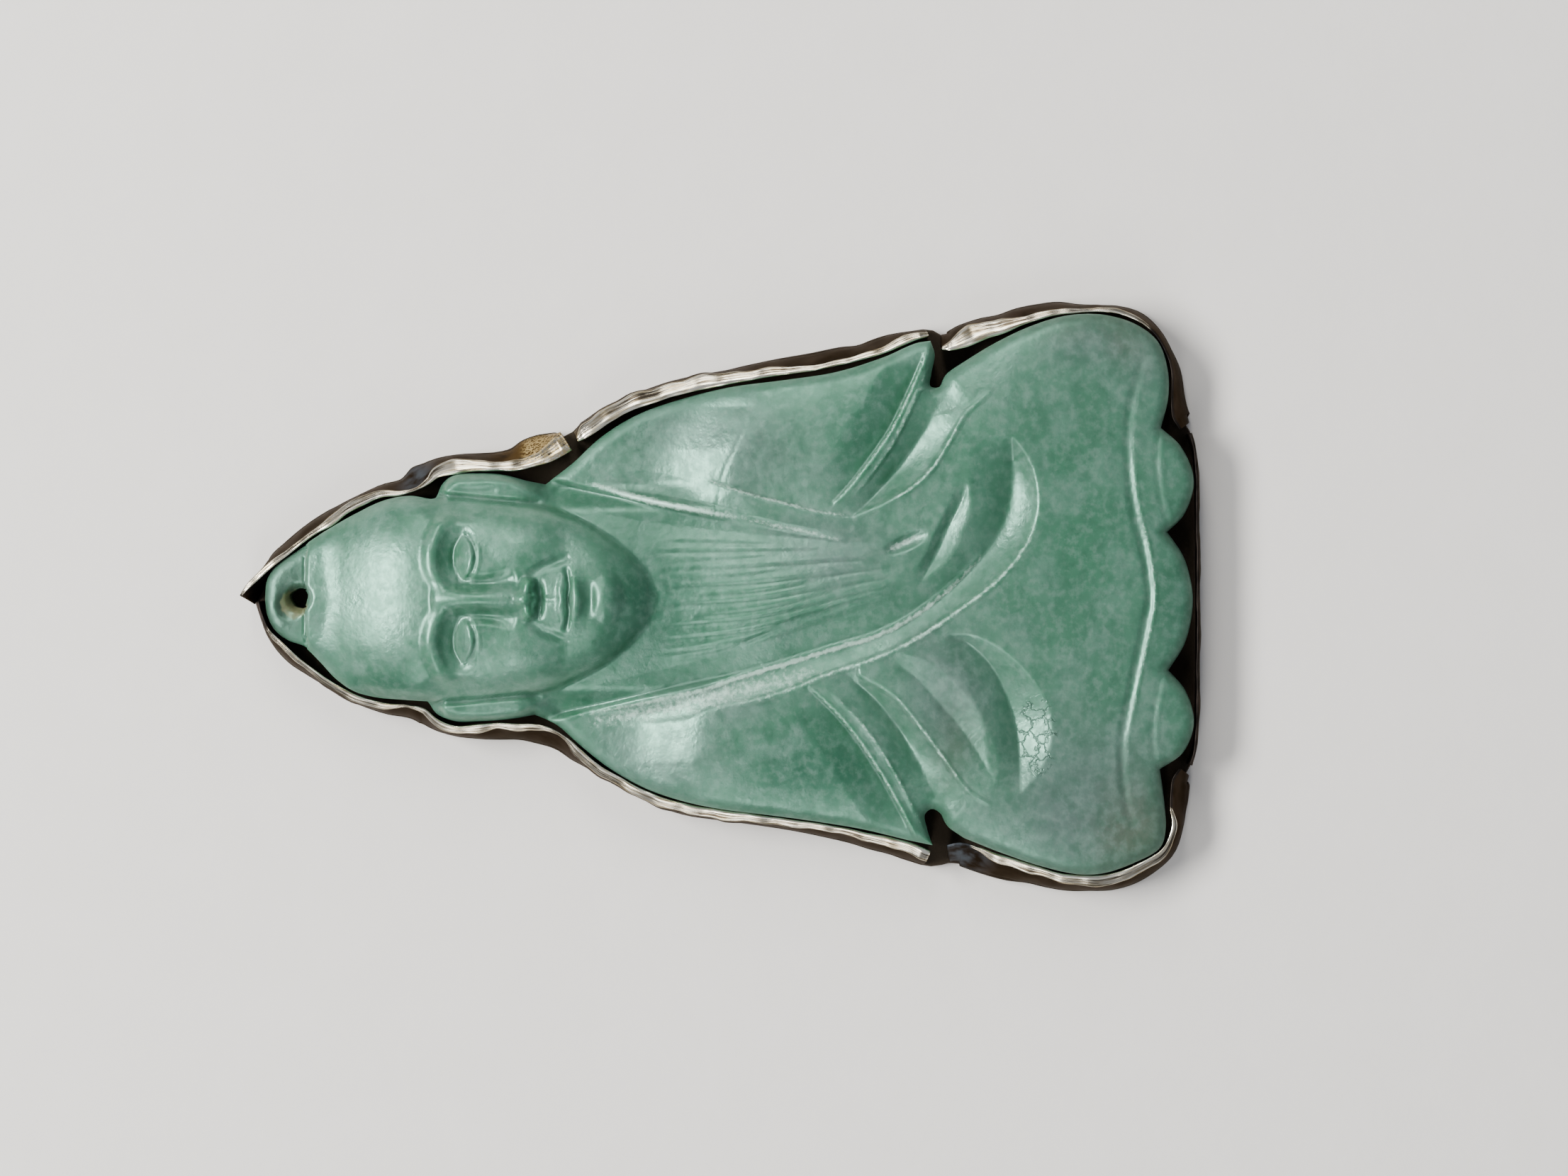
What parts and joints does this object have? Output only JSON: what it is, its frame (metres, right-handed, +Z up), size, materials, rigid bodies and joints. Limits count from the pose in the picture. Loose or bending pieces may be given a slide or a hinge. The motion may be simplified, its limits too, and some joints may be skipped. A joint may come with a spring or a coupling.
{
  "type": "jadeite figure pendant in a bezel setting",
  "caption": "Flat-backed jadeite relief of a robed, long-bearded sage, held in a tarnished silver bezel setting with a closed back plate.",
  "frame": {"origin": "centre of the whole pendant's footprint on the surface it lies on, at the underside of the back plate", "axes": "+Z up out of the carving, +Y from the hem to the head, +X to the right as seen from above with the head at the top"},
  "size_m": [0.0284, 0.0458, 0.0056],
  "materials": {
    "jade": "polished",
    "silver": "satin",
    "tarnished_silver": "matte"
  },
  "bodies": {
    "root": {"jade_figure": "jade", "back_plate": "tarnished_silver", "head_strip_right": "silver", "arm_strip_right": "silver", "skirt_strip_right": "silver", "hem_strip": "silver", "skirt_strip_left": "silver", "side_strip_left": "silver"}
  },
  "joints": []
}
